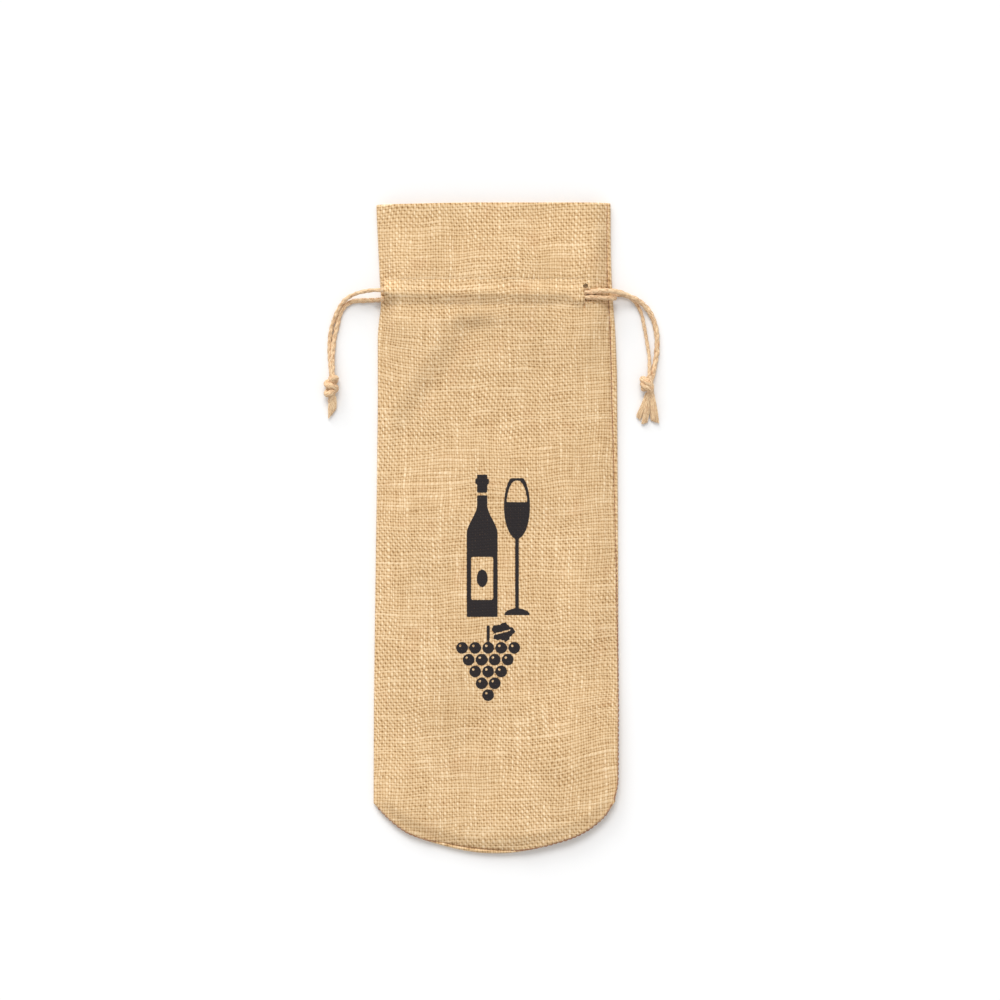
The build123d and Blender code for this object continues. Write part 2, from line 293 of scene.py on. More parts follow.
COLUMNS, LEFT_SLIT, RIGHT_SLIT = cloth_columns()
ROWS = cloth_rows()
JOINED = [i for i in range(len(COLUMNS) - 1) if i not in (LEFT_SLIT, RIGHT_SLIT)]
MIDDLE = int(np.argmin(abs(COLUMNS + 0.5)))
NECK_ROW = int(np.argmin(abs(ROWS - NECK)))


def roll(points, place):
    """How far in the seam lies, as a share of SEAM_IN."""
    places, shares = zip(*points)
    return np.interp(place, places, shares)


def drawn_in(near, share):
    """Moves places near an edge so that the one at SEAM_IN comes to that share of it."""
    reach = 9.0
    return near * (1 + (share - 1) * bump(near / reach) / bump(SEAM_IN / reach))


def plan(across, up, front):
    """x and y of each nominal place. On the front the seams lie a varying way in."""
    across, up = np.meshgrid(across, up)
    if front:
        across = NOMINAL - drawn_in(NOMINAL - across, roll(SIDE_ROLL, up))
        up = BOTTOM + drawn_in(up - BOTTOM, roll(BOTTOM_ROLL, across))
    start = seam_y(across * CORNER_HALF / NOMINAL)
    y = up + (start - BOTTOM) * (1 - smooth((up - BOTTOM) / 75))
    y = y - smooth((-across - 10) / 60) * smooth((y - 146) / 44)
    left, right = side_x(LEFT_EDGE, y), side_x(RIGHT_EDGE, y)
    x = left + (right - left) * (across + NOMINAL) / (2 * NOMINAL)
    near = 2.0 * bump(np.hypot(x - CORNER_HALF, y - CORNER_Y) / 7)
    return x - 0.8 * near, y + 0.6 * near


def groove(across, up, front):
    """How far the cloth dips at the seams."""
    if front:
        side = bump((NOMINAL - across - SEAM_IN) / 0.65) * smooth((roll(SIDE_ROLL, up) - 0.2) / 0.4)
        end = bump((up - BOTTOM - SEAM_IN) / 0.8) * smooth((roll(BOTTOM_ROLL, across) - 0.2) / 0.4)
        return -np.maximum(1.2 * side, 2.0 * end)
    return 0.5 * bump((across + NOMINAL - SEAM_IN) / 0.6)


def cloth_points(front, casing=True, rows=ROWS):
    """Mid-surface points of the front or back cloth, and where each lies on the flat cloth."""
    across, up = np.meshgrid(COLUMNS, rows)
    x, y = plan(COLUMNS, rows, front)
    if front:
        z = front_z(x, y, casing)
        column = np.arange(len(COLUMNS))[None, :]
        z = np.where(column <= LEFT_SLIT, front_z(x, y, False), z)
        z = np.where(column > RIGHT_SLIT, np.minimum(z, under_cords(y)), z)
    else:
        z = back_z(x, y)
    side, end, d = edge_distance(x, y)
    z = z + groove(across, up, front) + corner_lift(x, y)
    inside = np.minimum(d, EDGE_ROUND)
    turned = EDGE_ROUND * (np.arcsin(1 - inside / EDGE_ROUND)) - (EDGE_ROUND - inside)
    u = x + np.sign(x) * turned * (side < end)
    v = y - turned * (end <= side)
    return np.stack([x, y, z], -1), np.stack([u, v], -1)


def weave_place(flat):
    """Where each point of the cloth lies in its weave, whose yarns wander and lean near the edges."""
    x, y = flat[..., 0], flat[..., 1]
    u = x + 0.9 * waves(x, y, 60, 11) + 0.35 * waves(x, y, 22, 12)
    v = y + 1.1 * waves(x, y, 70, 13) + 0.45 * waves(x, y, 24, 14)
    v = v - 4.5 * spot(x, y, (-70, 100), 15, 30) - 7.0 * spot(x, y, (71, -128), 22, 34) - 0.030 * x
    return np.stack([u, v, np.zeros_like(u)], -1)


def grid_quads(grid):
    """Quads between the neighbours of a grid of point numbers."""
    return np.stack([grid[:-1, :-1], grid[:-1, 1:], grid[1:, 1:], grid[1:, :-1]], -1)


def corner_normals(points, quads):
    """A normal for each point, from the faces around it."""
    a, b, c, d = (points[quads[:, k]] for k in range(4))
    faces = np.cross(c - a, d - b)
    normals = np.zeros_like(points)
    for k in range(4):
        np.add.at(normals, quads[:, k], faces)
    return normals / np.linalg.norm(normals, axis=1, keepdims=True).clip(1e-9)


class Cloth:
    """The bag's outer cloth as one mid-surface, from which each piece takes its own faces."""

    def __init__(self):
        rows, columns = len(ROWS), len(COLUMNS)
        top, top_flat = cloth_points(True)
        under, under_flat = cloth_points(False)
        slots = np.arange(2 * rows * columns).reshape(2, rows, columns)
        slots[1, :, 0], slots[1, :, -1] = slots[0, :, 0], slots[0, :, -1]
        slots[1, 0, :] = slots[0, 0, :]
        closed = (ROWS <= SLIT_ROWS[0] + 0.01) | (ROWS >= SLIT_ROWS[1] - 0.01)
        for column in (LEFT_SLIT, RIGHT_SLIT):
            slots[0, closed, column + 1] = slots[0, closed, column]
            slots[1, :, column + 1] = slots[1, :, column]
        self.slots = slots
        self.points = np.concatenate([top.reshape(-1, 3), under.reshape(-1, 3)])
        self.flat = np.concatenate([top_flat.reshape(-1, 2), under_flat.reshape(-1, 2)])
        self.quads, self.where = self.faces(slots)
        self.fold_mouth()
        self.normals = corner_normals(self.points, self.quads)

    def faces(self, slots):
        """Every quad, and for each whether it is on the front, its row and its column."""
        quads, where = [], []
        for layer in (0, 1):
            quad = grid_quads(slots[layer])[:, JOINED]
            if layer:
                quad = quad[..., ::-1]
            j, i = np.meshgrid(np.arange(len(quad)), JOINED, indexing="ij")
            quads.append(quad.reshape(-1, 4))
            where.append(np.stack([np.full(j.size, layer == 0), j.ravel(), i.ravel()], -1))
        return np.concatenate(quads), np.concatenate(where)

    def fold_mouth(self):
        """Carries the last row round a half turn to the inside, where the hem starts."""
        steps = 6
        normals = corner_normals(self.points, self.quads)
        last = self.slots[:, -1, :]
        inward = -normals[last] * np.array([1, 0, 1])
        inward /= np.linalg.norm(inward, axis=-1, keepdims=True)
        rings = [last]
        for k in range(1, steps + 1):
            turn = math.pi * k / steps
            ring = self.points[last] + inward * FOLD * (1 - math.cos(turn))
            ring[..., 1] += FOLD * math.sin(turn)
            flat = self.flat[last].copy()
            flat[..., 1] += FOLD * turn
            names = np.arange(last.size).reshape(last.shape) + len(self.points)
            for end in (0, -1):
                names[1, end] = names[0, end]
            for column in (LEFT_SLIT, RIGHT_SLIT):
                names[:, column + 1] = names[:, column]
            self.points = np.concatenate([self.points, ring.reshape(-1, 3)])
            self.flat = np.concatenate([self.flat, flat.reshape(-1, 2)])
            rings.append(names)
        slots = np.stack(rings, axis=1)
        quads, where = self.faces(slots)
        where[:, 1] += self.slots.shape[1] - 1
        self.quads = np.concatenate([self.quads, quads])
        self.where = np.concatenate([self.where, where])

    def share(self, front, header, right):
        """The faces of one panel, above or below the neck, on one side of the middle."""
        on_top, row, column = self.where[:, 0] == 1, self.where[:, 1], self.where[:, 2]
        last = len(COLUMNS) - 1
        rolled = on_top & ((column >= last - SEAM_RING) | (row < SEAM_RING))
        tucked = ~on_top & (column < SEAM_RING)
        is_front = (on_top & ~rolled) | tucked
        middle = self.points[self.quads].mean(axis=1)
        hole = on_top & (np.hypot(middle[:, 0] - EYELET[0], middle[:, 1] - EYELET[1]) < EYELET[2])
        half = ((row >= NECK_ROW) == header) & ((column >= MIDDLE) == right)
        return (is_front == front) & half & ~hole


def link(name, data):
    """A new object for a mesh, curve, camera or lamp, linked to the scene."""
    item = bpy.data.objects.new(name, data)
    bpy.context.scene.collection.objects.link(item)
    return item


def make_mesh(name, points, faces, attributes):
    """A smooth-shaded mesh from points in millimetres. attributes are (name, values) for each point."""
    mesh = bpy.data.meshes.new(name)
    mesh.from_pydata((np.asarray(points) * MM).tolist(), [], [list(map(int, f)) for f in faces])
    for label, values in attributes:
        values = np.asarray(values, np.float32)
        kind = "FLOAT" if values.ndim == 1 else "FLOAT_VECTOR"
        layer = mesh.attributes.new(label, kind, "POINT")
        layer.data.foreach_set("value" if values.ndim == 1 else "vector", values.ravel())
    mesh.validate()
    mesh.shade_smooth()
    mesh.set_sharp_from_angle(angle=math.radians(60))
    return link(name, mesh)


def thick_sheet(name, points, normals, quads, attributes, half=HALF):
    """A closed sheet of cloth about a mid-surface."""
    used, quads = np.unique(quads, return_inverse=True)
    quads = quads.reshape(-1, 4)
    count = len(used)
    offset = normals[used] * half
    both = np.concatenate([points[used] + offset, points[used] - offset])
    edges = np.concatenate([quads[:, [k, (k + 1) % 4]] for k in range(4)])
    _, first, uses = np.unique(np.sort(edges, axis=1), axis=0, return_index=True, return_counts=True)
    rim = edges[first[uses == 1]]
    sides = np.stack([rim[:, 1], rim[:, 0], rim[:, 0] + count, rim[:, 1] + count], -1)
    faces = np.concatenate([quads, quads[:, ::-1] + count, sides])
    doubled = [(label, np.concatenate([v[used], v[used]])) for label, v in attributes]
    return make_mesh(name, both, faces, doubled)


# ---- printed motif ----
def disc(x, y, cx, cy, radius):
    """How far each place is outside a disc."""
    return np.hypot(x - cx, y - cy) - radius


def bar(x, y, cx, cy, half_x, half_y, rounding=0.0):
    """How far each place is outside a bar with rounded corners."""
    dx, dy = abs(x - cx) - half_x + rounding, abs(y - cy) - half_y + rounding
    outside = np.hypot(np.maximum(dx, 0), np.maximum(dy, 0))
    return outside + np.minimum(np.maximum(dx, dy), 0) - rounding


def oval(x, y, cx, cy, rx, ry):
    """About how far each place is outside an oval."""
    reach = np.hypot((x - cx) / rx, (y - cy) / ry)
    return (reach - 1) * min(rx, ry)


def bottle_shape(x, y):
    """A standing bottle with a blank label."""
    half = 9.0 - 6.0 * smooth((y + 3) / 17)
    body = np.maximum(abs(x + 7.5) - half, abs(y + 10) - 41.5)
    lip = bar(x, y, -7.5, 27.5, 4.0, 1.6, 0.6)
    label = bar(x, y, -7.5, -29, 6.4, 12.5, 1.0)
    seal = oval(x, y, -7.5, -29, 3.2, 5.2)
    ring = abs(bar(x, y, -7.5, 20.2, 9, 0.2)) - 0.5
    return np.minimum(np.maximum(np.maximum(np.minimum(body, lip), -label), -ring), seal)


def glass_shape(x, y):
    """A stemmed glass, part filled."""
    bowl = np.maximum(oval(x, y, 12.8, 13.0, 7.6, 19.0), y - 29.5)
    room = np.maximum(bowl + 1.5, 15.5 - y)
    stem = bar(x, y, 12.8, -27, 1.1, 23, 0.4)
    foot = np.maximum(oval(x, y, 12.8, -50.5, 7.6, 4.0), -50.5 - y)
    return np.minimum(np.minimum(np.maximum(bowl, -room), stem), foot)


def grapes_shape(x, y):
    """A hanging bunch of grapes with a leaf."""
    found = np.full(x.shape, 99.0)
    for row, count in enumerate((5, 4, 3, 2, 1)):
        for k in range(count):
            cx = -4 + (k - (count - 1) / 2) * 7.6
            cy = -69.5 - row * 6.9
            grape = disc(x, y, cx, cy, 3.45)
            shine = disc(x, y, cx - 1.1, cy + 1.2, 0.75)
            found = np.minimum(found, np.maximum(grape, -shine))
    stalk = bar(x, y, -4, -61.0, 0.9, 4.6, 0.4)
    lx, ly = x - 4.5, y + 60.3
    turn = np.arctan2(ly, lx)
    lobes = 0.86 + 0.10 * np.cos(5 * turn - 0.6) + 0.04 * np.cos(15 * turn)
    leaf = np.hypot(lx, ly * 1.25) - 7.4 * lobes
    vein = np.maximum(abs(ly - 0.25 * lx) - 0.42, abs(lx + 0.5) - 5.0)
    return np.minimum(np.minimum(found, stalk), np.maximum(leaf, -vein))


def print_distance(flat):
    """How far each place is outside the printed motif."""
    x, y = flat[..., 0], flat[..., 1]
    return np.minimum(np.minimum(bottle_shape(x, y), glass_shape(x, y)), grapes_shape(x, y))


# ---- materials ----
class Term:
    """A value in a material's nodes, which sums are written with."""

    def __init__(self, finish, socket):
        self.finish, self.socket = finish, socket


for sign, operation in (("add", "ADD"), ("sub", "SUBTRACT"), ("mul", "MULTIPLY"), ("truediv", "DIVIDE")):
    setattr(Term, f"__{sign}__", lambda a, b, do=operation: a.finish.do(do, a, b))
    setattr(Term, f"__r{sign}__", lambda a, b, do=operation: a.finish.do(do, b, a))


class Finish:
    """A procedural material, built from a node tree."""

    def __init__(self, name, roughness, sheen=0.0):
        self.material = bpy.data.materials.new(name)
        self.material.use_nodes = True
        self.tree = self.material.node_tree
        self.tree.nodes.clear()
        sheens = {"Sheen Weight": sheen, "Sheen Roughness": 0.6}
        looks = {"Roughness": roughness, "Specular IOR Level": 0.2, **sheens}
        surface = self.node("ShaderNodeBsdfPrincipled", looks)
        self.surface = surface.socket.node.inputs
        self.put(self.tree.nodes.new("ShaderNodeOutputMaterial").inputs[0], surface)

    def put(self, socket, value):
        """Links a socket to a term, or sets it."""
        if isinstance(value, Term):
            self.tree.links.new(value.socket, socket)
        elif isinstance(value, tuple) and socket.type == "RGBA":
            socket.default_value = (*value, 1)
        else:
            socket.default_value = value

    def node(self, kind, values, output=0, **settings):
        """A node with its inputs, by name or number, and its settings, as the term of one output."""
        node = self.tree.nodes.new(kind)
        for setting, value in settings.items():
            setattr(node, setting, value)
        for key, value in values.items():
            self.put(node.inputs[key], value)
        return Term(self, node.outputs[output])

    def do(self, operation, *values):
        """A sum of terms or numbers."""
        return self.node("ShaderNodeMath", dict(enumerate(values)), operation=operation)

    def stretch(self, *values):
        """Maps a range on to another, held at its ends: value, low, high, new low, new high."""
        return self.node("ShaderNodeMapRange", dict(enumerate(values)), interpolation_type="SMOOTHSTEP")

    def noise(self, place, scale=1.0, detail=2.0):
        """Noise at a place given as three terms or numbers."""
        vector = self.node("ShaderNodeCombineXYZ", dict(enumerate(place)))
        return self.node("ShaderNodeTexNoise", {"Vector": vector, "Scale": scale, "Detail": detail})

    def mix(self, share, a, b, blend="MIX"):
        """Mixes two colours."""
        return self.node("ShaderNodeMix", {0: share, 6: a, 7: b}, 2, data_type="RGBA", blend_type=blend)

    def attribute(self, name, output):
        """A value stored with the mesh's points."""
        return self.node("ShaderNodeAttribute", {}, output, attribute_name=name)

    def parts(self, name):
        """The three parts of a vector attribute."""
        split = self.node("ShaderNodeSeparateXYZ", {0: self.attribute(name, "Vector")})
        return [Term(self, socket) for socket in split.socket.node.outputs]

    def paint(self, colour, height=None, depth=0.0, strength=0.0):
        """Gives the surface its colour and relief."""
        self.put(self.surface["Base Color"], colour)
        if height is not None:
            relief = {"Strength": strength, "Distance": depth, "Height": height}
            self.put(self.surface["Normal"], self.node("ShaderNodeBump", relief))
        return self.material


# The weave's colours: painted shade in the gaps between the yarns, then yarn colours from dark to light.
# These are chosen both by painted light and shade and by the yarns' own streaks and tone.
GAP_SHADE = (0.25, 0.120, 0.038)
YARN_DARK = (0.55, 0.335, 0.150)
YARN_MID = (0.79, 0.555, 0.310)
YARN_LIGHT = (0.97, 0.76, 0.50)
RUST = (0.60, 0.30, 0.15)
TIP_HIGHLIGHT = 0.13  # painted highlight: how much lighter the tipped end of a crossing is painted
SLUB = 1.25  # how unevenly the yarns are spaced
INK = (0.012, 0.010, 0.013)


def weave_finish(name, shift=0.0, tone=1.0, printed=False):
    """Plain-woven jute: round uneven yarns that go over and under each other, with gaps between. Their light
    and shade are partly painted into the colour.
    """
    f = Finish(name, 0.88, sheen=0.1)
    u, v, _ = f.parts("weave")
    u = u / WARP + shift
    v = v / WEFT + shift * 0.7
    # Yarns are unevenly spaced, and swell and thin along their length.
    slub_u = f.noise((u * 0.7, v * 0.06, 0.0))
    slub_v = f.noise((u * 0.06, v * 0.7, 5.0))
    u = u + (slub_u - 0.5) * SLUB
    v = v + (slub_v - 0.5) * SLUB
    whole_u, whole_v = f.do("FLOOR", u), f.do("FLOOR", v)
    part_u, part_v = u - whole_u - 0.5, v - whole_v - 0.5
    over = f.do("PINGPONG", whole_u + whole_v, 1.0) * 2.0 - 1.0
    fat = (f.noise((u, v, 17.0), 0.55, 1.0) - 0.5) * 0.22
    heights = []
    for across, along, way, wide in ((part_u, part_v, 1.0, 0.46), (part_v, part_u, -1.0, 0.44)):
        off = across / (fat + wide)
        crown = f.do("SQRT", f.do("MAXIMUM", 1.0 - off * off, 0.0))
        rise = f.do("COSINE", along * math.pi) * over * way
        heights.append(crown * (0.60 + rise * 0.40))
    height = f.do("MAXIMUM", *heights)
    upper = f.do("GREATER_THAN", *heights)
    lower = 1.0 - upper
    # The yarns' twist tips each crossing the same way, more in some places than others. The tip shapes the
    # relief, and each crossing's tipped end is painted lighter as a highlight.
    tipped = f.stretch(f.noise((u, v, 31.0), 0.035, 1.0), 0.30, 0.60, 0.25, 1.0)
    tip = f.do("COSINE", (u + v) * math.pi) * tipped
    # Fibres run along each yarn, and each yarn has its own shade.
    strands_u = f.noise((u * 6.0, v * 0.9, 0.0), 1.0, 3.0)
    strands_v = f.noise((u * 0.9, v * 6.0, 3.0), 1.0, 3.0)
    shade_u = f.noise((whole_u * 9.7, v * 0.07, 0.0), 1.0, 1.0)
    shade_v = f.noise((u * 0.06, whole_v * 9.7, 7.0), 1.0, 1.0)
    strands = upper * strands_u + lower * strands_v
    shade = upper * shade_u + lower * shade_v
    # Painted light and shade: the yarns' crowns and each crossing's tipped end are painted lighter, and the
    # yarns darken into painted shade towards the gaps between them. The fibres' streaks and each yarn's own
    # tone are the jute's real colour.
    light = height * 0.56 + tip * TIP_HIGHLIGHT + (strands - 0.5) * 0.50 + (shade - 0.5) * 0.46
    light = light + f.stretch(shade, 0.57, 0.70) * 0.09 + 0.16
    # The colour runs from the painted shade of the gaps up to the painted light on the yarns' crowns.
    colour = GAP_SHADE
    for low, high, yarn in ((0.05, 0.42, YARN_DARK), (0.30, 0.66, YARN_MID), (0.58, 0.98, YARN_LIGHT)):
        colour = f.mix(f.stretch(light, low, high), colour, yarn)
    # Rusty fibres, broad rusty patches, and places that are a little darker.
    spots = f.stretch(strands, 0.58, 0.70) * f.stretch(shade, 0.50, 0.60)
    colour = f.mix(spots * 0.35, colour, RUST)
    patch = f.noise((u, v, 9.0), 0.11, 2.0)
    colour = f.mix(f.stretch(patch, 0.56, 0.72) * 0.10, colour, RUST)
    broad = f.noise((u, v, 2.0), 0.045, 3.0)
    darker, usual = tuple(tone * part for part in (0.95, 0.945, 0.93)), (tone, tone, tone)
    lift = f.mix(f.stretch(broad, 0.3, 0.7), darker, usual)
    colour = f.mix(1.0, colour, lift, "MULTIPLY")
    if printed:
        rough = (f.noise((u, v, 4.0), 1.6, 2.0) - 0.5) * 0.5
        ink = f.stretch(f.attribute("print_distance", "Fac") + rough, 0.14, -0.14)
        taken = f.stretch(height + strands * 0.35, 0.30, 0.52)
        colour = f.mix(ink * (0.86 + taken * 0.13), colour, INK)
    relief = height + strands * 0.22 + tip * 0.20
    return f.paint(colour, relief, depth=0.00030, strength=0.7)


def fibre_finish(name, dark, light, rust_share, streak):
    """Twisted or loose bast fibre: fine streaks along it, with odd darker fibres."""
    f = Finish(name, 0.78, sheen=0.15)
    along, around, tint = f.parts("fibre")
    fine = f.noise((along * 0.55, around * streak, tint), 1.0, 3.0)
    broad = f.noise((along * 0.14, around * 0.8, tint), 1.0, 2.0)
    colour = f.mix(f.stretch(fine, 0.30, 0.68), dark, light)
    colour = f.mix(f.stretch(broad, 0.52, 0.72) * rust_share, colour, RUST)
    colour = f.mix(f.stretch(broad, 0.48, 0.30) * 0.4, colour, YARN_LIGHT)
    return f.paint(colour, fine, depth=0.00016, strength=0.8)


FRONT_FINISH = weave_finish("jute_front", tone=0.975, printed=True)
BACK_FINISH = weave_finish("jute_back", shift=137.0)
HEM_FINISH = weave_finish("jute_hem_cloth", shift=311.0, tone=0.95)
SEAM_FINISH = weave_finish("jute_seam_cloth", shift=523.0, tone=0.92)
TWINE_FINISH = fibre_finish("jute_twine_fibre", (0.40, 0.21, 0.09), (0.97, 0.72, 0.45), 0.40, 5.0)
TAIL_FINISH = fibre_finish("jute_frayed", (0.52, 0.28, 0.12), (1.0, 0.80, 0.52), 0.25, 1.6)
THREAD_FINISH = fibre_finish("sewing_thread_spun", (0.66, 0.47, 0.27), (0.86, 0.67, 0.44), 0.1, 6.0)
SEAM_THREAD_FINISH = fibre_finish("seam_thread_spun", (0.20, 0.085, 0.045), (0.40, 0.19, 0.10), 0.3, 6.0)


def finish_piece(item, material, slot, *nodes):
    """Gives a piece its material and hides the CAD parts of the nodes that it stands for. slot is not used.
    """
    item.data.materials.append(material)
    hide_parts(*nodes)
    return item


def gather(item):
    """Bakes a piece's placing into its mesh."""
    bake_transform(item)


# ---- camera, light and floor ----
def set_stage():
    """A camera straight above, two broad soft suns, a white world and a white floor."""
    scene = bpy.context.scene
    scene.view_settings.view_transform = "Standard"
    height, across = 2.3, 0.5855  # metres: the eye's height, and the width that it takes in
    camera = bpy.data.cameras.new("camera")
    camera.sensor_width = 36
    camera.lens = 36 * height / across
    camera.clip_end = 20
    scene.camera = link("camera", camera)
    scene.camera.location = (2.9 * MM, 16.7 * MM, height)

    world = bpy.data.worlds.new("studio")
    scene.world = world
    world.use_nodes = True
    colour, strength, *_ = world.node_tree.nodes["Background"].inputs
    colour.default_value = (1.0, 1.0, 1.0, 1)
    strength.default_value = 0.66

    for name, way, power, spread in (
        ("window", (0.06, -0.85, -1.0), 1.54, 30),
        ("low_window", (0.42, -1.0, -0.40), 1.20, 28),
    ):
        lamp = bpy.data.lights.new(name, "SUN")
        lamp.energy = power
        lamp.angle = math.radians(spread)
        link(name, lamp).rotation_euler = Vector(way).to_track_quat("-Z", "Y").to_euler()

    bpy.ops.mesh.primitive_plane_add(size=12, location=(0, 0, FLOOR * MM))
    floor = bpy.context.object
    floor.name = "floor"
    paper = Finish("floor_paper", 0.9)
    paper.paint((0.885, 0.885, 0.885))
    floor.data.materials.append(paper.material)


# ---- twine ----
def lengths(points):
    """How far along a line each of its points is."""
    return np.concatenate([[0], np.cumsum(np.linalg.norm(np.diff(points, axis=0), axis=1))])


def at_lengths(places, along, values):
    """A line's values, given at its points' lengths, at other lengths."""
    return np.stack([np.interp(places, along, values[:, k]) for k in range(3)], -1)


def spline_line(route, step=0.35):
    """Evenly spaced points along a route's smooth line."""
    curve = bpy.data.curves.new("route", "CURVE")
    curve.dimensions = "3D"
    curve.resolution_u = 24
    spline = curve.splines.new("NURBS")
    spline.points.add(len(route) - 1)
    for point, place in zip(spline.points, route):
        point.co = (*place, 1)
    spline.order_u = 3
    spline.use_endpoint_u = True
    item = link("route", curve)
    mesh = bpy.data.meshes.new_from_object(item)
    points = np.array([vertex.co for vertex in mesh.vertices])
    bpy.data.objects.remove(item)
    bpy.data.meshes.remove(mesh)
    along = lengths(points)
    places = np.linspace(0, along[-1], max(8, int(along[-1] / step)))
    return at_lengths(places, along, points), places


def carried_frames(points):
    """At each point of a line, its direction and two steady directions across it."""
    ahead = np.gradient(points, axis=0)
    ahead /= np.linalg.norm(ahead, axis=1, keepdims=True)
    side = np.cross(ahead[0], (0.0, 0.0, 1.0))
    if np.linalg.norm(side) < 0.2:
        side = np.cross(ahead[0], (0.0, 1.0, 0.0))
    first = [side / np.linalg.norm(side)]
    for way in ahead[1:]:
        side = first[-1] - way * np.dot(first[-1], way)
        first.append(side / np.linalg.norm(side))
    first = np.array(first)
    return ahead, first, np.cross(ahead, first)


def tube_faces(rings, around, start):
    """Quads between the rings of a tube, and its two end caps."""
    k, m = np.meshgrid(np.arange(rings - 1), np.arange(around), indexing="ij")
    a = start + k * around + m
    b = start + k * around + (m + 1) % around
    quads = np.stack([a, b, b + around, a + around], -1).reshape(-1, 4).tolist()
    quads.append([start + m for m in reversed(range(around))])
    quads.append([start + (rings - 1) * around + m for m in range(around)])
    return quads


def angles(around):
    """Evenly spaced angles round a tube."""
    return np.arange(around) * 2 * math.pi / around


def tube_points(line, radii, around):
    """Points of a tube round a line."""
    _, first, second = carried_frames(line)
    turn = angles(around)[None, :, None]
    ring = first[:, None, :] * np.cos(turn) + second[:, None, :] * np.sin(turn)
    radii = np.asarray(radii).reshape(len(line), -1)
    points = line[:, None, :] + ring * radii[:, :, None]
    points[..., 2] = np.maximum(points[..., 2], GROUND)
    return points


class Tubes:
    """Many tubes in one mesh. Each point's marks are its place along and round the fibre, and a tint."""

    def __init__(self):
        self.points, self.faces, self.marks = [], [], []
        self.count = 0

    def add(self, line, radii, around, *marks):
        tube = tube_points(line, radii, around)
        self.faces += tube_faces(len(line), around, self.count)
        self.points.append(tube.reshape(-1, 3))
        self.count += len(line) * around
        marks = [np.broadcast_to(mark, tube.shape[:2]) for mark in marks]
        self.marks.append(np.stack(marks, -1).reshape(-1, 3))

    def mesh(self, name):
        marks = [("fibre", np.concatenate(self.marks))]
        return make_mesh(name, np.concatenate(self.points), self.faces, marks)


def twine(name, node, line, places, radius, seed, hairs):
    """A twisted two-ply cord along a line, with stray fibres, that stands for a node."""
    rng = np.random.default_rng(seed)
    around, plies = 10, 2
    ahead, first, second = carried_frames(line)
    tubes = Tubes()
    for ply in range(plies):
        angle = 2 * math.pi * (places / TWIST + ply / plies) + 0.25 * np.sin(places / 5.3 + seed)
        out = first * np.cos(angle)[:, None] + second * np.sin(angle)[:, None]
        swell = 1 + 0.07 * np.sin(places / 1.9 + seed + ply) + 0.05 * np.sin(places / 0.83 + 2 * ply)
        lean = angle[:, None] * 0.55 + angles(around)[None, :]
        thick = 0.80 * radius * swell
        tubes.add(line + 0.22 * radius * out, thick, around, places[:, None], lean, 3.7 * ply + seed)
    steps = np.linspace(0, 1, 6)[:, None]
    for _ in range(int(hairs * places[-1])):
        k = rng.integers(2, len(line) - 3)
        turn = rng.uniform(0, 2 * math.pi)
        out = first[k] * math.cos(turn) + second[k] * math.sin(turn)
        way = ahead[k] * rng.choice([-1, 1])
        reach = rng.uniform(0.8, 2.6)
        hair = line[k] + out * (0.82 * radius + 0.5 * reach * 0.3 * steps**1.6) + way * reach * steps
        hair[:, 2] = np.maximum(hair[:, 2], 0.1)
        tubes.add(hair, np.linspace(0.055, 0.02, 6), 4, places[k], turn, seed + 9.0)
    return finish_piece(tubes.mesh(name), TWINE_FINISH, "jute_twine", node)


def fibres(name, strands, radius, seed):
    """Many single fibres, each from a list of points."""
    rng = np.random.default_rng(seed)
    around = 5
    tubes = Tubes()
    for strand in strands:
        line, places = spline_line(strand, 0.8)
        taper = np.interp(places / places[-1], (0, 0.7, 1), (1, 0.9, 0.45))
        thick = radius * rng.uniform(0.7, 1.3) * taper
        tubes.add(line, thick, around, places[:, None], angles(around)[None, :], rng.uniform(0, 60))
    return tubes.mesh(name)


